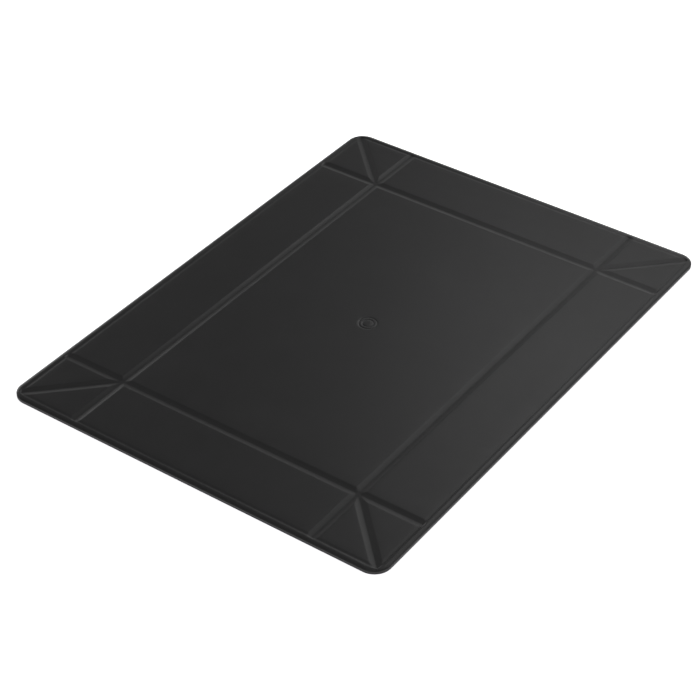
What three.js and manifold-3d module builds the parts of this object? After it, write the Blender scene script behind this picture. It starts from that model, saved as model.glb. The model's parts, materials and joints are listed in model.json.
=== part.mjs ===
// Fold-flat tray mat: a flat rectangular mat whose four walls hinge up on soft creases, while two
// triangular gussets in each corner pinch together face to face and are held by magnets. The crease
// between a corner's two gussets folds right over, so each half of it turns on its own gusset.
// Units are millimetres, +Z is up. The origin is at the centre of the underside.
// The long walls are front (-Y) and back (+Y), the short walls are left (-X) and right (+X).
import * as THREE from 'three';
import { ConvexGeometry } from 'three/addons/geometries/ConvexGeometry.js';
import { mergeVertices } from 'three/addons/utils/BufferGeometryUtils.js';
import Module from 'manifold-3d';

// Plan of the mat, laid flat
const LENGTH = 360;
const WIDTH = 268;
const WALL_HEIGHT = 48;
const CORNER_RADIUS = 11;
const ARC_STEPS = 5;

// Layers through the thickness, from the underside up
const COVER_THICKNESS = 0.7;
const LAYER_GAP = 0.05;
const LINING_THICKNESS = 0.7;
const BOARD_THICKNESS = 1.5;
const BOARD_BOTTOM = COVER_THICKNESS + LAYER_GAP;
const BOARD_TOP = BOARD_BOTTOM + BOARD_THICKNESS;
const LINING_FLOOR = BOARD_BOTTOM + LINING_THICKNESS;
const MAT_THICKNESS = BOARD_TOP + LAYER_GAP + LINING_THICKNESS;

// Soft crease channels, measured from the crease's centre line
const CREASE_CLEARANCE = 0.2;
const PLATEAU_FOOT = 1.5;
const PLATEAU_SHOULDER = 2.2;
const PLATEAU_EDGE = 3.4;
const SHOULDER_DROP = 0.45;
const BOARD_SETBACK = 3.2;
const POCKET_CLEARANCE = 0.1;

// A crease that folds away from the top face needs room below its hinge line
const GUSSET_FOLD_DEGREES = 45;
const MOUNTAIN_SLOPE = Math.tan(THREE.MathUtils.degToRad(GUSSET_FOLD_DEGREES / 2));
const mountainSetback = (height) => MOUNTAIN_SLOPE * (MAT_THICKNESS - height) + 2 * CREASE_CLEARANCE;

// Each half of a corner's diagonal crease is a narrow web of its own
const WEB_EDGE = 1.2;
const WEB_START = 9;
const GUSSET_EDGE = WEB_EDGE + CREASE_CLEARANCE;

// Rim bead and the pressed line inside it, measured from the outer edge
const RIM_WIDTH = 2;
const RIM_ROUND = 0.6;
const RIM_PLATEAU_FOOT = 3.2;
const RIM_PLATEAU_SHOULDER = 3.9;
const RIM_PLATEAU_EDGE = 4.8;
const RIM_BOARD_SETBACK = 4.6;
const BEAD_CUT_OVERRUN = 5;

// Magnets, one in each gusset, at the centre of the triangle's inscribed circle
const MAGNET_DIAMETER = 10;
const MAGNET_THICKNESS = 1.4;
const MAGNET_CLEARANCE = 0.15;
const MAGNET_SEGMENTS = 32;
const MAGNET_INSET = WALL_HEIGHT * (1 - Math.SQRT1_2);

// Cutting solids run past the faces they cut through, and vertices closer than this are one
const CUT_MARGIN = 1;
const MERGE_DISTANCE = 1e-5;

const BASE_HALF_LENGTH = LENGTH / 2 - WALL_HEIGHT;
const BASE_HALF_WIDTH = WIDTH / 2 - WALL_HEIGHT;

const MATERIALS = {
  lining: { color: 0x2b2a2b, roughness: 0.5, metalness: 0 },
  cover: { color: 0x3b2f49, roughness: 0.95, metalness: 0 },
  board: { color: 0x55524d, roughness: 0.8, metalness: 0 },
  web: { color: 0x262526, roughness: 0.5, metalness: 0 },
  magnet: { color: 0xb4b7ba, roughness: 0.3, metalness: 1 },
};

const wasm = await Module();
wasm.setup();
const group = new THREE.Group();

function toSolid(geometry) {
  const closed = geometry.clone();
  closed.deleteAttribute('normal');
  closed.deleteAttribute('uv');
  const merged = mergeVertices(closed, MERGE_DISTANCE);
  const mesh = new wasm.Mesh({
    numProp: 3,
    vertProperties: new Float32Array(merged.attributes.position.array),
    triVerts: new Uint32Array(merged.index.array),
  });
  return new wasm.Manifold(mesh);
}

function toGeometry(solid) {
  const mesh = solid.getMesh();
  const geometry = new THREE.BufferGeometry();
  geometry.setAttribute('position', new THREE.BufferAttribute(new Float32Array(mesh.vertProperties), 3));
  geometry.setIndex(new THREE.BufferAttribute(new Uint32Array(mesh.triVerts), 1));
  geometry.computeVertexNormals();
  return geometry;
}

// A straight-sided plate with the given outline
function plate(outline, bottom, top) {
  const shape = new THREE.Shape(outline);
  const geometry = new THREE.ExtrudeGeometry(shape, { depth: top - bottom, bevelEnabled: false });
  geometry.translate(0, 0, bottom);
  return toSolid(geometry);
}

// A plate whose sides lean in: the hull of one outline per height
function taperedPlate(levels) {
  const points = [];
  for (const [outline, height] of levels) {
    for (const point of outline) {
      points.push(new THREE.Vector3(point.x, point.y, height));
    }
  }
  return toSolid(new ConvexGeometry(points));
}

// Outlines. Each takes its setbacks: valley from the crease that folds up, mountain from the crease
// that folds away from the top face, diagonal from the corner's diagonal, rim from the outer edge.
function baseOutline({ valley }) {
  const x = BASE_HALF_LENGTH - valley;
  const y = BASE_HALF_WIDTH - valley;
  return [
    new THREE.Vector2(-x, -y),
    new THREE.Vector2(x, -y),
    new THREE.Vector2(x, y),
    new THREE.Vector2(-x, y),
  ];
}

// A wall lies outward from its crease along +Y, and is centred on X
function wallOutline(halfSpan, { valley, mountain, rim }) {
  const x = halfSpan - mountain;
  return [
    new THREE.Vector2(-x, valley),
    new THREE.Vector2(x, valley),
    new THREE.Vector2(x, WALL_HEIGHT - rim),
    new THREE.Vector2(-x, WALL_HEIGHT - rim),
  ];
}

// A gusset fills the half square past a wall's end (x = 0), up to the diagonal (x = y)
function gussetOutline({ mountain, diagonal, rim }) {
  const centre = WALL_HEIGHT - CORNER_RADIUS;
  const radius = CORNER_RADIUS - rim;
  const arcStart = Math.PI / 4 + Math.asin(diagonal / radius);
  const points = [new THREE.Vector2(mountain, mountain + diagonal * Math.SQRT2)];
  for (let step = 0; step <= ARC_STEPS; step += 1) {
    const angle = THREE.MathUtils.lerp(arcStart, Math.PI / 2, step / ARC_STEPS);
    points.push(new THREE.Vector2(centre + radius * Math.cos(angle), centre + radius * Math.sin(angle)));
  }
  points.push(new THREE.Vector2(mountain, WALL_HEIGHT - rim));
  return points;
}

// The same setback from every crease
function evenSetbacks(crease, rim) {
  return { valley: crease, mountain: crease, diagonal: crease, rim };
}

// The setbacks of a layer that runs down into the creases, with its underside at the given height
function sheetSetbacks(height, rim) {
  return { valley: CREASE_CLEARANCE, mountain: mountainSetback(height), diagonal: GUSSET_EDGE, rim };
}

const COVER_SETBACKS = sheetSetbacks(0, 0);
const LINING_SETBACKS = sheetSetbacks(BOARD_BOTTOM, 0);
const RIM_ROUND_SETBACKS = sheetSetbacks(BOARD_BOTTOM, RIM_ROUND);
const BEAD_CUT_SETBACKS = evenSetbacks(-BEAD_CUT_OVERRUN, RIM_WIDTH);
const FOOT_SETBACKS = evenSetbacks(PLATEAU_FOOT, RIM_PLATEAU_FOOT);
const SHOULDER_SETBACKS = evenSetbacks(PLATEAU_SHOULDER, RIM_PLATEAU_SHOULDER);
const TOP_SETBACKS = evenSetbacks(PLATEAU_EDGE, RIM_PLATEAU_EDGE);
const BOARD_SETBACKS = evenSetbacks(BOARD_SETBACK, RIM_BOARD_SETBACK);
const POCKET_SETBACKS = evenSetbacks(
  BOARD_SETBACK - POCKET_CLEARANCE,
  RIM_BOARD_SETBACK - POCKET_CLEARANCE,
);

// The outer sheet on the underside
function cover(outline) {
  return plate(outline(COVER_SETBACKS), 0, COVER_THICKNESS);
}

// The stiffener board inside the panel, with a hole through it for a magnet where there is one
function board(outline, magnetCentre) {
  const blank = plate(outline(BOARD_SETBACKS), BOARD_BOTTOM, BOARD_TOP);
  if (!magnetCentre) {
    return blank;
  }
  const radius = MAGNET_DIAMETER / 2 + MAGNET_CLEARANCE;
  const hole = disc(radius, BOARD_BOTTOM - CUT_MARGIN, BOARD_TOP + CUT_MARGIN, magnetCentre);
  return blank.subtract(hole);
}

// The smooth top sheet: a low flange in the creases, a raised field over the board and, where the
// panel has an outer edge, a rounded bead along it
function lining(outline, hasRim) {
  const flange = plate(outline(LINING_SETBACKS), BOARD_BOTTOM, LINING_FLOOR);
  const field = taperedPlate([
    [outline(FOOT_SETBACKS), BOARD_BOTTOM],
    [outline(FOOT_SETBACKS), LINING_FLOOR],
    [outline(SHOULDER_SETBACKS), MAT_THICKNESS - SHOULDER_DROP],
    [outline(TOP_SETBACKS), MAT_THICKNESS],
  ]);
  const pocket = plate(outline(POCKET_SETBACKS), 0, BOARD_TOP + LAYER_GAP);
  const sheet = flange.add(field).subtract(pocket);
  return hasRim ? sheet.add(rimBead(outline)) : sheet;
}

function rimBead(outline) {
  const body = taperedPlate([
    [outline(LINING_SETBACKS), BOARD_BOTTOM],
    [outline(LINING_SETBACKS), MAT_THICKNESS - RIM_ROUND],
    [outline(RIM_ROUND_SETBACKS), MAT_THICKNESS],
  ]);
  return body.subtract(plate(outline(BEAD_CUT_SETBACKS), 0, MAT_THICKNESS + CUT_MARGIN));
}

// Half of a corner's diagonal crease, where the top sheet lies on the outer one
function web() {
  const foot = WEB_START * Math.SQRT1_2;
  const corner = WALL_HEIGHT - CORNER_RADIUS * (1 - Math.SQRT1_2);
  const near = CREASE_CLEARANCE * Math.SQRT1_2;
  const far = WEB_EDGE * Math.SQRT1_2;
  return plate([
    new THREE.Vector2(foot - near, foot + near),
    new THREE.Vector2(corner - near, corner + near),
    new THREE.Vector2(corner - far, corner + far),
    new THREE.Vector2(foot - far, foot + far),
  ], 0, LINING_FLOOR);
}

function disc(radius, bottom, top, centre) {
  const geometry = new THREE.CylinderGeometry(radius, radius, top - bottom, MAGNET_SEGMENTS);
  geometry.rotateX(Math.PI / 2);
  geometry.translate(centre.x, centre.y, (bottom + top) / 2);
  return toSolid(geometry);
}

function magnet(centre) {
  const bottom = BOARD_BOTTOM + (BOARD_THICKNESS - MAGNET_THICKNESS) / 2;
  return disc(MAGNET_DIAMETER / 2, bottom, bottom + MAGNET_THICKNESS, centre);
}

function addMesh(name, solid, materialName) {
  const material = new THREE.MeshStandardMaterial(MATERIALS[materialName]);
  const mesh = new THREE.Mesh(toGeometry(solid), material);
  mesh.name = name;
  group.add(mesh);
}

// Moves a solid made beside the origin to its crease. direction is the wall's outward direction in
// quarter turns from +Y, and mirrored flips it end for end.
function placed(solid, wall, mirrored, alongWall) {
  const flipped = mirrored ? solid.scale([-1, 1, 1]) : solid;
  const slide = (mirrored ? -1 : 1) * alongWall;
  return flipped.translate([slide, wall.creaseDistance, 0]).rotate([0, 0, 90 * wall.quarterTurns]);
}

const LONG_WALL = { halfSpan: BASE_HALF_LENGTH, creaseDistance: BASE_HALF_WIDTH };
const SHORT_WALL = { halfSpan: BASE_HALF_WIDTH, creaseDistance: BASE_HALF_LENGTH };
const WALLS = [
  { name: 'back', quarterTurns: 0, ...LONG_WALL, ends: ['right', 'left'] },
  { name: 'left', quarterTurns: 1, ...SHORT_WALL, ends: ['back', 'front'] },
  { name: 'front', quarterTurns: 2, ...LONG_WALL, ends: ['left', 'right'] },
  { name: 'right', quarterTurns: 3, ...SHORT_WALL, ends: ['front', 'back'] },
];

addMesh('base_cover', cover(baseOutline), 'cover');
addMesh('base_board', board(baseOutline), 'board');
addMesh('base_lining', lining(baseOutline, false), 'lining');

for (const wall of WALLS) {
  const outline = (setback) => wallOutline(wall.halfSpan, setback);
  const layers = { cover: cover(outline), board: board(outline), lining: lining(outline, true) };
  for (const [layer, solid] of Object.entries(layers)) {
    addMesh(`${wall.name}_wall_${layer}`, placed(solid, wall, false, 0), layer);
  }
}

const magnetCentre = new THREE.Vector2(MAGNET_INSET, WALL_HEIGHT - MAGNET_INSET);
const gussetLayers = {
  cover: cover(gussetOutline),
  board: board(gussetOutline, magnetCentre),
  lining: lining(gussetOutline, true),
  magnet: magnet(magnetCentre),
  web: web(),
};

for (const wall of WALLS) {
  wall.ends.forEach((end, index) => {
    for (const [layer, solid] of Object.entries(gussetLayers)) {
      const name = `${wall.name}_wall_${end}_gusset_${layer}`;
      addMesh(name, placed(solid, wall, index === 1, wall.halfSpan), layer);
    }
  });
}

export default group;
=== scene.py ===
"""Looks for the fold-flat tray mat: its creased top sheet, its outer sheet, boards and magnets."""

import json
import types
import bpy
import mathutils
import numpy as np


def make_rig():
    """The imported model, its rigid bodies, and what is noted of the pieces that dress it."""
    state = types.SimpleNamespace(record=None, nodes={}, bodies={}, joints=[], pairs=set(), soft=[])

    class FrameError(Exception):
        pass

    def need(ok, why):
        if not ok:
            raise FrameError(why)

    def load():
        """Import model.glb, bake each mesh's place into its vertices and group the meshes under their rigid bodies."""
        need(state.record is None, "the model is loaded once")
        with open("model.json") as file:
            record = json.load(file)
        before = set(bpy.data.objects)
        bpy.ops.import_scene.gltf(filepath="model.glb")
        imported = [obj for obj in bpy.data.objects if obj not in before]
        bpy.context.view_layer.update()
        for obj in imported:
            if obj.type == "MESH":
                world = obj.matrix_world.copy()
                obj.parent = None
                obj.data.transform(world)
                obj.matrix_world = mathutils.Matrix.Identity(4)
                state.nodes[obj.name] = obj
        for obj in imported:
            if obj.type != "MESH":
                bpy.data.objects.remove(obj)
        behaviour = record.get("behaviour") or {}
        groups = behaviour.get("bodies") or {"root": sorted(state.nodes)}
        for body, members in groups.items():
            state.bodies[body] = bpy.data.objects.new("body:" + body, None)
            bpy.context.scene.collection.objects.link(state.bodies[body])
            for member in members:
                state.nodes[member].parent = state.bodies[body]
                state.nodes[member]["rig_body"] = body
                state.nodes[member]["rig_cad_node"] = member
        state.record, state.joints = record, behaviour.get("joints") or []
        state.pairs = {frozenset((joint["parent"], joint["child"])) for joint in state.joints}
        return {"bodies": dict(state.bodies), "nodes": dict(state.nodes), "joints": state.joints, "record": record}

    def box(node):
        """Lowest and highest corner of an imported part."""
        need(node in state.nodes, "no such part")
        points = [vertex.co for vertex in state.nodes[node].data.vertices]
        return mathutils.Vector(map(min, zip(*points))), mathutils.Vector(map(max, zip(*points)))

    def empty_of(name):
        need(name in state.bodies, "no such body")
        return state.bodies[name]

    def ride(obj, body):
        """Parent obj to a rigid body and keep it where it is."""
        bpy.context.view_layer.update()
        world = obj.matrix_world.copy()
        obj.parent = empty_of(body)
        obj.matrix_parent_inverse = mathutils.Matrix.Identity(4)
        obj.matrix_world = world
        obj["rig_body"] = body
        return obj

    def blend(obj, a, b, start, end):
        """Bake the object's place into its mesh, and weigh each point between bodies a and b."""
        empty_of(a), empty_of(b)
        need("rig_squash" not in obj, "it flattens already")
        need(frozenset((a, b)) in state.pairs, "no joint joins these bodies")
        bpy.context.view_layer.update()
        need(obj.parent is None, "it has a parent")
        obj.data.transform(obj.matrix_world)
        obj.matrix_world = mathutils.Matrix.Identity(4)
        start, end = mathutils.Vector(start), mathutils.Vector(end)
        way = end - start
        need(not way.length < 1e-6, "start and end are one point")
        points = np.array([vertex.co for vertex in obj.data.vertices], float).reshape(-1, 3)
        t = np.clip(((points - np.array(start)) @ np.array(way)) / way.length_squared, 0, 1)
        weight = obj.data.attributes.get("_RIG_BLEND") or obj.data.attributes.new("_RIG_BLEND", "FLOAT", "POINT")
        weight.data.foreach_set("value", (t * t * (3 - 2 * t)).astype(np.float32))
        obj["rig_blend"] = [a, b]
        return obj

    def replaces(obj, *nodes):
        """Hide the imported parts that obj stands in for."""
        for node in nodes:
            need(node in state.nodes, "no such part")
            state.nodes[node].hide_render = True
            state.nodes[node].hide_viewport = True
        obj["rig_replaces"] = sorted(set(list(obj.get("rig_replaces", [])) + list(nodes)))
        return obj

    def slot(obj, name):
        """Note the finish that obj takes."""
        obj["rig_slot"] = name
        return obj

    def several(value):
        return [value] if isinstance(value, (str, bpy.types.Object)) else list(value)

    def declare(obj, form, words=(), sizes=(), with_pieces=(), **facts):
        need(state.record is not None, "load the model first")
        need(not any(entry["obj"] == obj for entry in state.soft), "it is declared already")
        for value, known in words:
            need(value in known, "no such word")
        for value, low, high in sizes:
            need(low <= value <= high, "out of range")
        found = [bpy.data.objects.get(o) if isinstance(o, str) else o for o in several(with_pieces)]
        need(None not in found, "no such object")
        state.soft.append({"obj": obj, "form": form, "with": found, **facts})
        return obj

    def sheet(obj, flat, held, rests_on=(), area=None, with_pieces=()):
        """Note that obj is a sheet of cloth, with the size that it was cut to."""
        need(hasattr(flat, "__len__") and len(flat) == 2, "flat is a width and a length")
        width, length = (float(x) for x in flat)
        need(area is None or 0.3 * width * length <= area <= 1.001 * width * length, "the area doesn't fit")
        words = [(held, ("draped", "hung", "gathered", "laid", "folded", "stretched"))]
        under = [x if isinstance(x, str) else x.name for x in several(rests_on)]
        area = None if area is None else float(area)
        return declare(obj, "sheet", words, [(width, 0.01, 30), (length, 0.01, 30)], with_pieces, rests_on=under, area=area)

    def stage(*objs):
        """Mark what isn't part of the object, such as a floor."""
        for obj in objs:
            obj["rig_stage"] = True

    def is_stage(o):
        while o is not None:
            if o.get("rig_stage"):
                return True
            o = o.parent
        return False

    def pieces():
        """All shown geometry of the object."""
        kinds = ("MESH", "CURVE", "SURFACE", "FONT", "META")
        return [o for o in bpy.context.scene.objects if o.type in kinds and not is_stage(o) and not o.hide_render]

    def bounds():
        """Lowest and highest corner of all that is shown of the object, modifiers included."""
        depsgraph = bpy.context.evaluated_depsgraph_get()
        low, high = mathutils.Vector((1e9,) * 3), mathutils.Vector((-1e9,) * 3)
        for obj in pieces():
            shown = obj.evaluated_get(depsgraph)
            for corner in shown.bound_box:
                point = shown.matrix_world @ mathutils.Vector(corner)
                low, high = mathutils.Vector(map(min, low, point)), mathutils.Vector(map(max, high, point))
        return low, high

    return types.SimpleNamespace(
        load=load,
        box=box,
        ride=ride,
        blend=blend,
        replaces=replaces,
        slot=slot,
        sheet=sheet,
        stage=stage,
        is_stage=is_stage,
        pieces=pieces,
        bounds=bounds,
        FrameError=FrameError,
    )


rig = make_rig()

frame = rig.load()

import json
import math

import bmesh
import bpy
from mathutils import Vector
from mathutils.geometry import delaunay_2d_cdt

MM = 0.001
ROOT2 = math.sqrt(2)

# ---------------------------------------------------------------- sizes taken from the frame
cad_low, cad_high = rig.bounds()
joints = {joint["name"]: joint for joint in frame["joints"]}
BASE_X = joints["right_wall_fold"]["pos_m"][0]
BASE_Y = joints["back_wall_fold"]["pos_m"][1]
WALL = cad_high.x - BASE_X
THICKNESS = cad_high.z
OUTER_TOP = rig.box("base_cover")[1].z
SHEET_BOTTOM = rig.box("base_lining")[0].z
BOARD_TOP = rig.box("base_board")[1].z
BOARD_SETBACK = BASE_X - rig.box("base_board")[1].x
BOARD_RIM_SETBACK = cad_high.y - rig.box("back_wall_board")[1].y

# ---------------------------------------------------------------- shape of the sheets
CORNER_RADIUS = 11 * MM
ARC_CENTRE = WALL - CORNER_RADIUS
SHEET = 0.7 * MM  # thickness of the top sheet

# Pressed creases in the top face: a trough with soft shoulders.
CREASE_DEPTH = 0.76 * MM
CREASE_HALF = 3.5 * MM
CREASE_POWER = 1.35
SHOULDER_ROUND = 0.1 * MM
CROSSING_POWER = 4

# The rounded bead along the outer edge, and the pressed line inside it, by distance from the edge.
BEAD_CREST = 2.8 * MM
BEAD_ROUND = 1.3 * MM
RIM_LINE = 4.4 * MM
RIM_SHOULDER = 6.4 * MM
RIM_DEPTH = 0.25 * MM

# The underside: its sheet lifts a little into the creases and rounds off at the edge.
UNDER_DEPTH = 0.1 * MM
UNDER_HALF = 3.2 * MM
UNDER_ROUND = 0.4 * MM
UNDER_ROUND_WIDTH = 0.9 * MM

# How wide each crease bends when its joint turns, and the clearances between the layers.
BLEND_WALL = 3.6 * MM
BLEND_GUSSET = 2.6 * MM
LAYER_GAP = 0.03 * MM
FOLD_GAP = 0.01 * MM  # from a gusset's sheets to the corner's diagonal

# Hidden tucks that close a corner's inner point: how far they reach to each side of it, and heights.
BASE_TUCK = (-1.0 * MM, 2.6 * MM)
BASE_TUCK_HEIGHTS = (0.84 * MM, 1.1 * MM)
FOLD_TUCK_ALONG = (-0.8 * MM, 7.0 * MM)
FOLD_TUCK_ACROSS = (-0.3 * MM, 1.3 * MM)
LOWER_TUCK, UPPER_TUCK = (1.14 * MM, 1.28 * MM), (1.30 * MM, 1.44 * MM)
FOLD_TUCK_LAYERS = {"front": LOWER_TUCK, "back": LOWER_TUCK, "left": UPPER_TUCK, "right": UPPER_TUCK}

# The plain mark in the middle of the base: two debossed rings.
RING_RADII = (3.5 * MM, 5.7 * MM)
RING_HALF = 0.45 * MM
RING_DEPTH = 0.2 * MM

# ---------------------------------------------------------------- how finely the sheets are cut up
CREASE_BAND = 4.2 * MM
TIP = 3.4 * MM  # how far the wall's corner tab reaches
TIP_END = CREASE_BAND * (1 + ROOT2)
RIM_BAND = 6.5 * MM
RIM_INNER = WALL - RIM_BAND
PATCH = 9 * MM  # half side of the square round the rings
PATCH_CIRCLES = (1.5 * MM, 7.5 * MM)
PATCH_SIDES = 64
DENSE_REACH = 9 * MM
DENSE_CELLS = 12
OPEN_CELLS = 9
STEP_ALONG_CREASE = 8 * MM
STEP_ACROSS_WALL = 5.5 * MM
STEP_ALONG_RIM = 5 * MM
STEP_IN_GUSSET = 6 * MM
GUSSET_POINTS_FROM = (8 * MM, 20 * MM)
GUSSET_POINTS = (5, 4)
GUSSET_POINTS_CLEAR = 3 * MM
NEARLY = MM / 100
SLIVER = 0.002 * MM ** 2
MERGE_DISTANCE = 1e-9
SAME_POINT_DIGITS = 4  # decimals of a millimetre: points that round alike share a vertex
SHARP_ANGLE = math.radians(34)

CREASE_STEPS = [x * MM for x in (0, 0.35, 0.7, 1.05, 1.4, 1.75, 2.1, 2.4, 2.7, 2.95, 3.2, 3.4, 3.7, 4.2)]
RIM_STEPS = [x * MM for x in (0, 0.05, 0.15, 0.3, 0.5, 0.8, 1.1, 1.5, 1.9, 2.35, 2.8, 3.2, 3.6, 4.0,
                              4.4, 4.9, 5.4, 5.9, 6.5)]
TIP_STEPS = [x * MM for x in (5.2, 6.4, 8.0)] + [TIP_END]

WALLS = [
    {"name": "back", "turns": 0, "half": BASE_X, "away": BASE_Y, "ends": ("right", "left")},
    {"name": "left", "turns": 1, "half": BASE_Y, "away": BASE_X, "ends": ("back", "front")},
    {"name": "front", "turns": 2, "half": BASE_X, "away": BASE_Y, "ends": ("left", "right")},
    {"name": "right", "turns": 3, "half": BASE_Y, "away": BASE_X, "ends": ("front", "back")},
]


def smooth(t):
    """0 up to t = 0, 1 from t = 1, and an even S between."""
    t = min(1.0, max(0.0, t))
    return t * t * (3 - 2 * t)


def crease_drop(distance):
    """How far the top face drops at this distance from a crease's centre line: a rounded trough
    whose sides are steepest just inside its soft shoulders."""
    trough = CREASE_DEPTH * (1 - (abs(distance) / CREASE_HALF) ** CREASE_POWER)
    return (trough + math.hypot(trough, SHOULDER_ROUND)) / 2


def rim_drop(d):
    """How far the top face drops at this distance from the outer edge: the bead and its line."""
    if d < BEAD_CREST:
        across = (BEAD_CREST - max(d, 0.0)) / BEAD_CREST
        return BEAD_ROUND * (1 - math.sqrt(max(0.0, 1 - across * across)))
    if d < RIM_LINE:
        return RIM_DEPTH * smooth((d - BEAD_CREST) / (RIM_LINE - BEAD_CREST))
    return RIM_DEPTH * (1 - smooth((d - RIM_LINE) / (RIM_SHOULDER - RIM_LINE)))


def joined_drop(*drops):
    """Channels that cross run into each other with a soft corner."""
    return min(CREASE_DEPTH, sum(drop ** CROSSING_POWER for drop in drops) ** (1 / CROSSING_POWER))


def ring_drop(x, y):
    """How far the top face drops into the two rings in the middle of the base."""
    radius = math.hypot(x, y)
    return sum(RING_DEPTH * (1 - smooth(abs(radius - ring) / RING_HALF)) for ring in RING_RADII)


def base_drop(x, y):
    return joined_drop(crease_drop(abs(x) - BASE_X), crease_drop(abs(y) - BASE_Y)) + ring_drop(x, y)


def edge_distance(u, s):
    """Distance in from the outer edge, which turns a tighter corner the further in it is. u runs past
    the wall's end, s runs out from its crease."""
    if min(u, s) <= ARC_CENTRE:
        return WALL - max(u, s)
    from_arc = CORNER_RADIUS - math.hypot(u - ARC_CENTRE, s - ARC_CENTRE)
    from_square = WALL - max(u, s)
    square_share = min(1.0, max(0.0, from_arc) / (CORNER_RADIUS - (CORNER_RADIUS - RIM_BAND) * ROOT2))
    return from_arc + (from_square - from_arc) * square_share


def outer_drop(u, s):
    """Drop of the top face on a wall (u below 0) or on a gusset (u above 0)."""
    d = edge_distance(u, s)
    drops = [crease_drop(u), crease_drop(s)]
    if u > 0:
        drops.append(crease_drop((s - u) / ROOT2))
    return joined_drop(*[drop * inside_bead(d) for drop in drops], rim_drop(d))


def channel_lift(*distances):
    """How far the outer sheet lifts into the creases at these distances from them."""
    return UNDER_DEPTH * max(1 - smooth(abs(distance) / UNDER_HALF) for distance in distances)


def base_lift(x, y):
    return channel_lift(abs(x) - BASE_X, abs(y) - BASE_Y)


def outer_lift(u, s):
    diagonal = [(s - u) / ROOT2] if u > 0 else []
    return channel_lift(u, s, *diagonal) * inside_bead(edge_distance(u, s))


def inside_bead(d):
    """0 under the edge bead, where the two sheets are pressed together, 1 inside the pressed line."""
    return smooth((d - BEAD_CREST) / (RIM_LINE - BEAD_CREST))


# ---------------------------------------------------------------- flat layouts, cell by cell
def spaced(low, high, step):
    """Evenly spaced places from low to high, about a step apart."""
    count = max(1, round((high - low) / step))
    return [low + (high - low) * k / count for k in range(count + 1)]


def span_steps(half):
    """Places along a crease from one end to the other, close together near the ends."""
    side = [-half + x for x in CREASE_STEPS]
    side += spaced(-half + CREASE_BAND, -PATCH, STEP_ALONG_CREASE)[1:]
    return side + [-x for x in reversed(side)]


def outward_steps():
    """Places out from the base crease to the outer edge."""
    inner = CREASE_STEPS + TIP_STEPS
    inner += spaced(TIP_END, RIM_INNER, STEP_ACROSS_WALL)[1:]
    return inner + [WALL - d for d in reversed(RIM_STEPS[:-1])]


def grid(columns):
    """Four-sided cells between neighbouring columns of points."""
    cells = []
    for left, right in zip(columns, columns[1:]):
        for k in range(len(left) - 1):
            cells.append([left[k], right[k], right[k + 1], left[k + 1]])
    return cells


def cell_area(cell):
    return abs(sum(x1 * y2 - x2 * y1 for (x1, y1), (x2, y2) in zip(cell, cell[1:] + cell[:1]))) / 2


def delaunay(points):
    """Triangles between the points, without the slivers between points in one line."""
    vertices, _, faces, *_ = delaunay_2d_cdt([Vector(p) for p in points], [], [], 0, MERGE_DISTANCE)
    cells = [[tuple(vertices[i]) for i in face] for face in faces]
    return [cell for cell in cells if cell_area(cell) > SLIVER]


def base_layout():
    """The base, with a finer round patch over the rings."""
    xs, ys = span_steps(BASE_X), span_steps(BASE_Y)
    cells = grid([[(x, y) for y in ys] for x in xs])
    inside = [c for c in cells if all(max(abs(x), abs(y)) < PATCH + NEARLY for x, y in c)]
    cells = [c for c in cells if c not in inside]
    points = [(x, y) for x in (-PATCH, PATCH) for y in (-PATCH, PATCH)] + [(0, 0)]
    radii = {ring + step * RING_HALF / 2 for ring in RING_RADII for step in range(-2, 3)}
    for radius in sorted(radii.union(PATCH_CIRCLES)):
        for k in range(PATCH_SIDES):
            angle = 2 * math.pi * k / PATCH_SIDES
            points.append((radius * math.cos(angle), radius * math.sin(angle)))
    return cells + delaunay(points)


def wall_layout(half):
    """The wall and, past each of its ends, the small tab that fills the corner of the base."""
    steps = outward_steps()
    cells = grid([[(x, s) for s in steps] for x in span_steps(half)])
    tab = [x for x in CREASE_STEPS if x <= TIP + NEARLY]
    for side in (-1, 1):
        for i in range(len(tab) - 1):
            for k in range(i, len(tab) - 1):
                corners = [(tab[i], tab[k]), (tab[i + 1], tab[k]),
                           (tab[i + 1], tab[k + 1]), (tab[i], tab[k + 1])]
                if k == i:
                    del corners[1]
                cells.append([(side * (half + u), s) for u, s in corners])
    return cells


def strip_layout():
    """The gusset beside its wall's end crease, as far as the line halfway to the diagonal."""
    columns = []
    far = [s for s in outward_steps() if s > TIP_END + NEARLY]
    near = [x for x in CREASE_STEPS + TIP_STEPS if x >= TIP - NEARLY]
    for u in CREASE_STEPS:
        start = max(TIP, u * (1 + ROOT2))
        first = [start + (TIP_END - start) * (x - TIP) / (TIP_END - TIP) for x in near]
        columns.append([(u, s) for s in first + far])
    return grid(columns)


def edge_point(u):
    """The point of the outer edge that a rim column from (u, RIM_INNER) runs out to."""
    if u <= ARC_CENTRE:
        return u, WALL
    angle = math.pi / 2 - math.pi / 4 * (u - ARC_CENTRE) / (RIM_INNER - ARC_CENTRE)
    return ARC_CENTRE + CORNER_RADIUS * math.cos(angle), ARC_CENTRE + CORNER_RADIUS * math.sin(angle)


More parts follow.
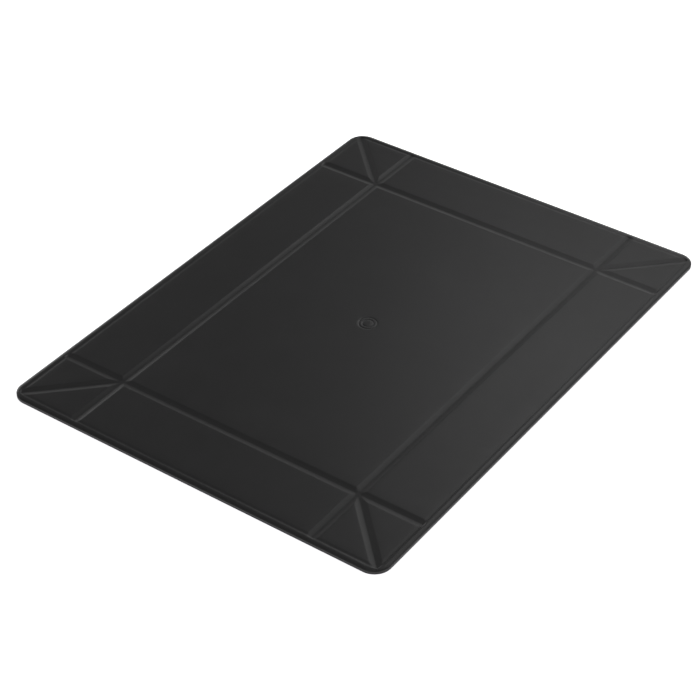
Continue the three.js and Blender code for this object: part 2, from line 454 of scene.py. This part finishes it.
def field_layout():
    """The rest of the gusset: the diagonal's band, the rim's band and the flat field between."""
    steps = [FOLD_GAP] + CREASE_STEPS[1:]
    columns = []
    for e in steps:
        start = max(e * (1 + ROOT2), TIP * ROOT2 - e)
        end = RIM_INNER * ROOT2 - e
        near = [start + DENSE_REACH * k / DENSE_CELLS for k in range(DENSE_CELLS)]
        far = [start + DENSE_REACH + (end - start - DENSE_REACH) * k / OPEN_CELLS
               for k in range(OPEN_CELLS + 1)]
        columns.append([((p - e) / ROOT2, (p + e) / ROOT2) for p in near + far])
    cells = grid(columns)
    band_edge = RIM_INNER - CREASE_BAND * ROOT2
    straight = spaced(CREASE_BAND, band_edge, STEP_ALONG_RIM)
    rim_columns = []
    for u in straight + [RIM_INNER - e * ROOT2 for e in reversed(steps[:-1])]:
        edge_u, edge_s = edge_point(u)
        shares = [d / RIM_BAND for d in RIM_STEPS]
        rim_columns.append([(edge_u + (u - edge_u) * k, edge_s + (RIM_INNER - edge_s) * k)
                            for k in shares])
    cells += grid(rim_columns)
    border = columns[-1] + [column[-1] for column in rim_columns[:len(straight) - 1]]
    beside_strip = [(CREASE_BAND, s) for s in outward_steps() if TIP_END < s < RIM_INNER]
    first_u, first_s = GUSSET_POINTS_FROM
    count_u, count_s = GUSSET_POINTS
    middle = [(first_u + STEP_IN_GUSSET * i, first_s + STEP_IN_GUSSET * k)
              for i in range(count_u) for k in range(count_s)]
    middle = [(u, s) for u, s in middle if s < RIM_INNER - GUSSET_POINTS_CLEAR
              and s - u > CREASE_BAND * ROOT2 + GUSSET_POINTS_CLEAR]
    return cells + delaunay(border + beside_strip + middle)


# ---------------------------------------------------------------- sheets
def place(wall, along, out):
    """A wall's own coordinates to the frame's: its crease is turned round the base."""
    x, y = along, out + wall["away"]
    for _ in range(wall["turns"]):
        x, y = -y, x
    return x, y


def sheet_piece(name, area, top, bottom, wear, material):
    """A closed sheet over an area's cells, between the heights that top() and bottom() give."""
    order, points, faces = {}, [], []
    for cell in area.cells:
        face = []
        for point in cell:
            key = tuple(round(at / MM, SAME_POINT_DIGITS) for at in point)
            if key not in order:
                order[key] = len(points)
                points.append(point)
            if order[key] not in face:
                face.append(order[key])
        if len(face) > 2:
            faces.append(face)
    count = len(points)
    flat = [area.to_frame(*point) for point in points]
    vertices = [(x, y, top(*p)) for (x, y), p in zip(flat, points)]
    vertices += [(x, y, bottom(*p)) for (x, y), p in zip(flat, points)]
    edges = {}
    for face in faces:
        for a, b in zip(face, face[1:] + face[:1]):
            edges.setdefault(frozenset((a, b)), []).append((a, b))
    sides = [[b, a, a + count, b + count] for (a, b), *more in edges.values() if not more]
    under = [[i + count for i in reversed(face)] for face in faces]
    mesh = bpy.data.meshes.new(name)
    mesh.from_pydata(vertices, [], faces + under + sides)
    # Per point: how rubbed the sheet is on the bead, and below 0 the painted shade down in the channels and down the
    # edge.
    tone = mesh.attributes.new("wear", "FLOAT", "POINT")
    tone.data.foreach_set("value", [wear(*p) for p in points] * 2)
    finish_mesh(mesh)
    mesh.materials.append(material)
    piece = bpy.data.objects.new(name, mesh)
    bpy.context.scene.collection.objects.link(piece)
    return piece


def finish_mesh(mesh):
    """Faces out, soft shading, and a sharp line where a cut edge meets a face."""
    work = bmesh.new()
    work.from_mesh(mesh)
    bmesh.ops.recalc_face_normals(work, faces=work.faces)
    for face in work.faces:
        face.smooth = True
    for edge in work.edges:
        edge.smooth = edge.calc_face_angle(math.pi) < SHARP_ANGLE
    work.to_mesh(mesh)
    work.free()


def declare(piece, cells, held, rests_on, with_pieces=()):
    xs = [x for cell in cells for x, _ in cell]
    ys = [y for cell in cells for _, y in cell]
    flat = (max(xs) - min(xs), max(ys) - min(ys))
    area = min(sum(cell_area(cell) for cell in cells), flat[0] * flat[1])
    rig.sheet(piece, flat=flat, held=held, rests_on=rests_on, area=area, with_pieces=with_pieces)


def sheet_bottom(height, d, over_board):
    """Underside of the top sheet: it follows the top, rests on the board and fills the edge bead."""
    follow = max(SHEET_BOTTOM, height - SHEET, BOARD_TOP + LAYER_GAP if over_board else 0)
    return SHEET_BOTTOM + (follow - SHEET_BOTTOM) * inside_bead(d)


# ---------------------------------------------------------------- materials
def new_material(name):
    """A new material, its nodes, its links and its shader."""
    material = bpy.data.materials.new(name)
    material.use_nodes = True
    nodes = material.node_tree.nodes
    return material, nodes, material.node_tree.links, nodes["Principled BSDF"]


def object_coordinates(nodes):
    return nodes.new("ShaderNodeTexCoord").outputs["Object"]


def read_wear_and_shade(nodes):
    """The per-point value that the sheet was given: 1 where the bead is rubbed, below 0 for painted shade down in the
    channels and down the edge.
    """
    node = nodes.new("ShaderNodeAttribute")
    node.attribute_name = "wear"
    return node.outputs["Fac"]


def noise(nodes, links, coordinates, scale, detail=2.0, roughness=0.5):
    node = nodes.new("ShaderNodeTexNoise")
    node.inputs["Scale"].default_value = scale
    node.inputs["Detail"].default_value = detail
    node.inputs["Roughness"].default_value = roughness
    links.new(coordinates, node.inputs["Vector"])
    return node.outputs["Fac"]


def ramp(nodes, links, value, stops):
    """A colour for the value, from stops of (position, colour)."""
    node = nodes.new("ShaderNodeValToRGB")
    while len(node.color_ramp.elements) < len(stops):
        node.color_ramp.elements.new(0.5)
    for element, (position, colour) in zip(node.color_ramp.elements, stops):
        element.position = position
        element.color = (*colour, 1)
    links.new(value, node.inputs["Fac"])
    return node.outputs["Color"]


def mapped(nodes, links, value, low, high):
    """The value's range from 0 to 1, spread from low to high."""
    node = nodes.new("ShaderNodeMapRange")
    node.inputs["To Min"].default_value = low
    node.inputs["To Max"].default_value = high
    links.new(value, node.inputs["Value"])
    return node.outputs["Result"]


def maths(nodes, links, operation, a, b):
    node = nodes.new("ShaderNodeMath")
    node.operation = operation
    for socket, value in zip(node.inputs, (a, b)):
        if isinstance(value, (int, float)):
            socket.default_value = value
        else:
            links.new(value, socket)
    return node.outputs["Value"]


def bump(nodes, links, height, distance, strength, normal=None):
    node = nodes.new("ShaderNodeBump")
    node.inputs["Distance"].default_value = distance
    node.inputs["Strength"].default_value = strength
    links.new(height, node.inputs["Height"])
    if normal is not None:
        links.new(normal, node.inputs["Normal"])
    return node.outputs["Normal"]


SHINE_PER_WEAR, SHINE_UNWORN, SHINE_MOST = 0.37, 0.71, 0.38


def leatherette():
    """Smooth black leatherette: fine pebbled grain, satin, a little glossier and a little lighter where it is rubbed
    on the bead. The edge's side and the foot of each channel shine less, and their colour is darkened there as painted
    shade."""
    material, nodes, links, shader = new_material("top_leatherette")
    place_at = object_coordinates(nodes)
    pebble = nodes.new("ShaderNodeTexVoronoi")
    pebble.feature = "SMOOTH_F1"
    pebble.inputs["Scale"].default_value = 1300
    pebble.inputs["Smoothness"].default_value = 0.6
    links.new(place_at, pebble.inputs["Vector"])
    fine = noise(nodes, links, place_at, 4200, detail=3)
    cloud = noise(nodes, links, place_at, 22, detail=4)
    smear = noise(nodes, links, place_at, 90, detail=3)
    worn_and_shaded = read_wear_and_shade(nodes)
    grain = maths(nodes, links, "ADD", pebble.outputs["Distance"], maths(nodes, links, "MULTIPLY", fine, 0.5))
    normal = bump(nodes, links, grain, 0.00004, 0.35)
    links.new(bump(nodes, links, smear, 0.0001, 0.12, normal), shader.inputs["Normal"])
    # Painted shade: the tone drops down in the channels and down the edge's side, and rises a little on the rubbed
    # bead.
    tone = maths(nodes, links, "ADD", cloud, maths(nodes, links, "MULTIPLY", worn_and_shaded, 0.35))
    colour = ramp(nodes, links, tone, [(0.2, (0.0100, 0.0098, 0.0100)), (0.6, (0.0120, 0.0118, 0.0121)),
                                      (1.0, (0.0170, 0.0167, 0.0172))])
    links.new(colour, shader.inputs["Base Color"])
    rough = maths(nodes, links, "ADD", mapped(nodes, links, smear, 0.38, 0.46),
                  maths(nodes, links, "MULTIPLY", worn_and_shaded, -0.06))
    links.new(rough, shader.inputs["Roughness"])
    shine = maths(nodes, links, "ADD", maths(nodes, links, "MULTIPLY", worn_and_shaded, SHINE_PER_WEAR), SHINE_UNWORN)
    links.new(maths(nodes, links, "MINIMUM", shine, SHINE_MOST), shader.inputs["Specular IOR Level"])
    return material


def microfibre():
    """Short-napped purple-black microfibre: matt, soft sheen, brushed patches."""
    material, nodes, links, shader = new_material("outer_microfibre")
    place_at = object_coordinates(nodes)
    nap = noise(nodes, links, place_at, 3200, detail=5, roughness=0.7)
    patch = noise(nodes, links, place_at, 35, detail=3)
    fleck = noise(nodes, links, place_at, 900, detail=4)
    worn_and_shaded = read_wear_and_shade(nodes)
    tone = maths(nodes, links, "ADD", maths(nodes, links, "MULTIPLY", patch, 0.6),
                 maths(nodes, links, "MULTIPLY", fleck, 0.5))
    colour = ramp(nodes, links, tone, [(0.3, (0.016, 0.009, 0.026)), (0.55, (0.024, 0.013, 0.038)),
                                      (0.8, (0.036, 0.020, 0.054))])
    links.new(colour, shader.inputs["Base Color"])
    links.new(bump(nodes, links, nap, 0.00012, 0.6), shader.inputs["Normal"])
    rough = maths(nodes, links, "ADD", mapped(nodes, links, patch, 0.82, 0.98),
                  maths(nodes, links, "MULTIPLY", worn_and_shaded, -0.1))
    links.new(rough, shader.inputs["Roughness"])
    shader.inputs["Sheen Weight"].default_value = 0.1
    shader.inputs["Sheen Roughness"].default_value = 0.35
    shader.inputs["Sheen Tint"].default_value = (0.75, 0.6, 0.9, 1)
    shader.inputs["Specular IOR Level"].default_value = 0.2
    return material


def greyboard():
    """Raw greyboard with short fibres and flecks."""
    material, nodes, links, shader = new_material("stiffener_board")
    place_at = object_coordinates(nodes)
    fibre = noise(nodes, links, place_at, 700, detail=6, roughness=0.7)
    fleck = noise(nodes, links, place_at, 2600, detail=2)
    colour = ramp(nodes, links, fibre, [(0.25, (0.13, 0.12, 0.11)), (0.5, (0.19, 0.18, 0.165)),
                                       (0.8, (0.27, 0.255, 0.235))])
    links.new(colour, shader.inputs["Base Color"])
    links.new(bump(nodes, links, fleck, 0.00008, 0.5), shader.inputs["Normal"])
    links.new(mapped(nodes, links, fibre, 0.8, 0.95), shader.inputs["Roughness"])
    return material


def nickel():
    """Nickel-plated magnet with faint handling marks."""
    material, nodes, links, shader = new_material("magnet_metal")
    place_at = object_coordinates(nodes)
    marks = noise(nodes, links, place_at, 800, detail=5, roughness=0.65)
    colour = ramp(nodes, links, marks, [(0.3, (0.50, 0.49, 0.46)), (0.7, (0.66, 0.65, 0.62))])
    links.new(colour, shader.inputs["Base Color"])
    shader.inputs["Metallic"].default_value = 1.0
    links.new(mapped(nodes, links, marks, 0.18, 0.34), shader.inputs["Roughness"])
    links.new(bump(nodes, links, marks, 0.00002, 0.3), shader.inputs["Normal"])
    return material


LEATHERETTE = leatherette()
MICROFIBRE = microfibre()
GREYBOARD = greyboard()
NICKEL = nickel()


# ---------------------------------------------------------------- pieces
def bead_wear_and_channel_shade(drop, d):
    """1 on the rubbed bead, 0 on the open field, below 0 down in a channel and down the edge. Below 0 it darkens the
    top sheet's colour as painted shade.
    """
    bead = 1 - smooth(abs(d - BEAD_CREST) / BEAD_CREST)
    return bead - drop / CREASE_DEPTH


class Area:
    """One stretch of the mat, laid flat: its cells, where they go and its surfaces over them."""

    def __init__(self, cells, to_frame, to_local, base=False):
        self.cells, self.to_frame, self.to_local, self.base = cells, to_frame, to_local, base

    def drop(self, *point):
        return base_drop(*point) if self.base else outer_drop(*self.to_local(*point))

    def lift(self, *point):
        return base_lift(*point) if self.base else outer_lift(*self.to_local(*point))

    def rim(self, *point):
        return WALL if self.base else edge_distance(*self.to_local(*point))

    def over_board(self, *point):
        reach = BOARD_SETBACK - LAYER_GAP
        if self.base:
            return abs(point[0]) < BASE_X - reach and abs(point[1]) < BASE_Y - reach
        u, s = self.to_local(*point)
        clear_ends = u < -reach or (u > reach and (s - u) / ROOT2 > reach)
        return clear_ends and s > reach and self.rim(*point) > BOARD_RIM_SETBACK - LAYER_GAP

    def top(self, *point):
        return THICKNESS - self.drop(*point)

    def under_top(self, *point):
        return sheet_bottom(self.top(*point), self.rim(*point), self.over_board(*point))

    def outer_top(self, *point):
        return OUTER_TOP + self.lift(*point)

    def outer_bottom(self, *point):
        edge = UNDER_ROUND * (1 - smooth(self.rim(*point) / UNDER_ROUND_WIDTH))
        return max(self.lift(*point), edge)

    # Rubbed on the bead; painted shade down in the channels and down the edge.
    def top_wear(self, *point):
        return bead_wear_and_channel_shade(self.drop(*point), self.rim(*point))

    def outer_wear(self, *point):
        return bead_wear_and_channel_shade(0, self.rim(*point))


def make_pair(stem, area):
    """The top sheet and the outer sheet over the same flat cells."""
    top = sheet_piece(f"{stem}_top_sheet", area, area.top, area.under_top, area.top_wear, LEATHERETTE)
    outer = sheet_piece(f"{stem}_outer_sheet", area, area.outer_top, area.outer_bottom, area.outer_wear,
                        MICROFIBRE)
    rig.slot(top, "top_leatherette")
    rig.slot(outer, "outer_microfibre")
    return top, outer


def make_tuck(name, corners, low, high, body):
    """A strip of folded-in sheet, hidden between the two sheets, that closes a corner's inner point
    when the walls stand up."""
    mesh = bpy.data.meshes.new(name)
    count = len(corners)
    sides = [[k, (k + 1) % count, (k + 1) % count + count, k + count] for k in range(count)]
    mesh.from_pydata([(x, y, z) for z in (low, high) for x, y in corners], [],
                     [list(range(count)), [k + count for k in range(count)]] + sides)
    finish_mesh(mesh)
    mesh.materials.append(LEATHERETTE)
    tuck = bpy.data.objects.new(name, mesh)
    bpy.context.scene.collection.objects.link(tuck)
    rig.slot(tuck, "top_leatherette")
    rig.ride(tuck, body)
    return tuck


def corner_tuck(side, end, x, y):
    """The tuck that stays flat under one corner of the base."""
    xs, ys = [[math.copysign(abs(at) + reach, at) for reach in BASE_TUCK] for at in (x, y)]
    corners = [(xs[0], ys[0]), (xs[1], ys[0]), (xs[1], ys[1]), (xs[0], ys[1])]
    return make_tuck(f"{side}_{end}_corner_tuck", corners, *BASE_TUCK_HEIGHTS, "base")


def make_base():
    """The base's two sheets and its four corner tucks."""
    area = Area(base_layout(), lambda x, y: (x, y), None, base=True)
    tucks = [corner_tuck(side, end, x, y)
             for end, x in (("left", -BASE_X), ("right", BASE_X))
             for side, y in (("front", -BASE_Y), ("back", BASE_Y))]
    top, outer = make_pair("base", area)
    for piece, node, held, extra in ((top, "base_lining", "stretched", tucks),
                                     (outer, "base_cover", "laid", [])):
        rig.ride(piece, "base")
        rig.replaces(piece, node)
        declare(piece, area.cells, held, ["base_board"], with_pieces=extra)


def make_wall(wall):
    """A wall's two sheets, which bend along its base crease."""
    body = f"{wall['name']}_wall"
    area = Area(wall_layout(wall["half"]), lambda along, out: place(wall, along, out),
                lambda along, out: (abs(along) - wall["half"], out))
    start = (*place(wall, 0, 0), 0)
    end = (*place(wall, 0, BLEND_WALL), 0)
    for piece, kind, held in zip(make_pair(body, area), ("lining", "cover"), ("stretched", "laid")):
        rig.blend(piece, "base", body, start=start, end=end)
        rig.replaces(piece, f"{body}_{kind}")
        declare(piece, area.cells, held, [f"{body}_board"])


def make_gusset(wall, end_name, side):
    """A gusset's two sheets, each a strip that bends along the wall's end crease and a field that folds
    over along the diagonal."""
    wall_body = f"{wall['name']}_wall"
    body = f"{wall_body}_{end_name}_gusset"

    def to_frame(u, s):
        return place(wall, side * (wall["half"] + u), s)

    strips = make_pair(f"{body}_crease", Area(strip_layout(), to_frame, lambda u, s: (u, s)))
    field = Area(field_layout(), to_frame, lambda u, s: (u, s))
    fields = make_pair(body, field)
    middle = WALL / 2
    crease = [(*to_frame(u, middle), 0) for u in (0, BLEND_GUSSET)]
    lean = BLEND_GUSSET / ROOT2
    diagonal = [(*to_frame(middle - lean, middle + lean), 0), (*to_frame(middle, middle), 0)]
    (start, end), (near, far) = FOLD_TUCK_ALONG, FOLD_TUCK_ACROSS
    corners = [to_frame((p - e) / ROOT2, (p + e) / ROOT2)
               for p, e in ((start, near), (end, near), (end, far), (start, far))]
    tuck = make_tuck(f"{body}_fold_tuck", corners, *FOLD_TUCK_LAYERS[wall["name"]], f"{body}_web")
    for strip, piece, kind, held, extra in zip(strips, fields, ("lining", "cover"), ("stretched", "laid"),
                                               ([tuck], [])):
        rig.blend(strip, wall_body, body, start=crease[0], end=crease[1])
        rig.blend(piece, body, f"{body}_web", start=diagonal[0], end=diagonal[1])
        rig.replaces(piece, f"{body}_{kind}")
        declare(piece, field.cells, held, [f"{body}_board"], with_pieces=[strip, *extra])
    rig.replaces(fields[0], f"{body}_web")


def finish_hidden_nodes():
    """The boards and magnets inside keep their CAD shapes."""
    for name, node in frame["nodes"].items():
        if node.hide_render:
            continue
        material = NICKEL if name.endswith("_magnet") else GREYBOARD
        node.data.materials.clear()
        node.data.materials.append(material)


make_base()
for wall in WALLS:
    make_wall(wall)
    for end_name, side in zip(wall["ends"], (1, -1)):
        make_gusset(wall, end_name, side)
finish_hidden_nodes()


# ---------------------------------------------------------------- camera, floor and light
CAMERA_AZIMUTH = math.radians(-54.53)
CAMERA_ELEVATION = math.radians(37.81)
CAMERA_DISTANCE = 1.2471
CAMERA_AIM = Vector((-0.0270, -0.0057, 0.0015))
CAMERA_LENS = 105.07
FLOOR_REACH = 6
FLOOR_BELOW = 0.1 * MM


def direction(azimuth, elevation):
    """From the middle of the mat towards the camera or a light; azimuth 0 is in front of it."""
    return Vector((math.sin(azimuth) * math.cos(elevation),
                   -math.cos(azimuth) * math.cos(elevation), math.sin(elevation)))


def add_camera():
    camera = bpy.data.objects.new("camera", bpy.data.cameras.new("camera"))
    camera.data.lens = CAMERA_LENS
    camera.data.sensor_width = 36
    back = direction(CAMERA_AZIMUTH, CAMERA_ELEVATION)
    camera.location = CAMERA_AIM + back * CAMERA_DISTANCE
    camera.rotation_euler = (-back).to_track_quat("-Z", "Y").to_euler()
    bpy.context.scene.collection.objects.link(camera)
    bpy.context.scene.camera = camera


def add_area_light(name, azimuth, elevation, distance, size, power):
    """A soft light aimed at the middle of the mat. Angles in degrees, power in watts."""
    light = bpy.data.lights.new(name, "AREA")
    light.shape = "RECTANGLE"
    light.size, light.size_y = size
    light.energy = power
    lamp = bpy.data.objects.new(name, light)
    away = direction(math.radians(azimuth), math.radians(elevation))
    lamp.location = away * distance
    lamp.rotation_euler = (-away).to_track_quat("-Z", "Y").to_euler()
    bpy.context.scene.collection.objects.link(lamp)


def add_floor():
    """A plain white floor that glows a little, as the photo's background does."""
    mesh = bpy.data.meshes.new("floor")
    reach = FLOOR_REACH
    mesh.from_pydata([(-reach, -reach, 0), (reach, -reach, 0), (reach, reach, 0), (-reach, reach, 0)],
                     [], [(0, 1, 2, 3)])
    floor = bpy.data.objects.new("floor", mesh)
    floor.location.z = -FLOOR_BELOW
    material, _, _, shader = new_material("floor")
    shader.inputs["Base Color"].default_value = (0.93, 0.93, 0.93, 1)
    shader.inputs["Roughness"].default_value = 0.9
    shader.inputs["Specular IOR Level"].default_value = 0.1
    shader.inputs["Emission Strength"].default_value = 0.8
    mesh.materials.append(material)
    bpy.context.scene.collection.objects.link(floor)
    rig.stage(floor)


def add_world(strength):
    world = bpy.data.worlds.new("studio")
    world.use_nodes = True
    world.node_tree.nodes["Background"].inputs["Color"].default_value = (1, 1, 1, 1)
    world.node_tree.nodes["Background"].inputs["Strength"].default_value = strength
    bpy.context.scene.world = world


# Each light's name, azimuth, elevation, distance, size and power.
FAR = 2.2
SOFTBOX = (1.2, 1.2)
LIGHTS = [
    ("overhead_softbox", 0, 88, FAR, SOFTBOX, 3.5),
    ("left_softbox", -100, 25, FAR, SOFTBOX, 18),
    ("front_softbox", 20, 30, FAR, SOFTBOX, 8.8),
    ("right_softbox", 75, 45, FAR, SOFTBOX, 6.5),
    ("back_softbox", 165, 14, FAR, SOFTBOX, 7),
    ("high_softbox", 125, 62, FAR, SOFTBOX, 0.8),
    ("near_softbox", 102.7, 44.8, 0.737, (0.3, 0.3), 0.48),
    ("low_softbox", 95, 14, FAR, SOFTBOX, 2.6),
    ("sweep_strip", 125, 9, 2.5, (3.0, 0.5), 5.0),
]

add_camera()
add_floor()
add_world(0.1)
for light in LIGHTS:
    add_area_light(*light)
bpy.context.scene.view_settings.view_transform = "Standard"

low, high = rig.bounds()
with open("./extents.json", "w") as out:
    json.dump({"cad": [list(cad_low), list(cad_high)], "visual": [list(low), list(high)]}, out)
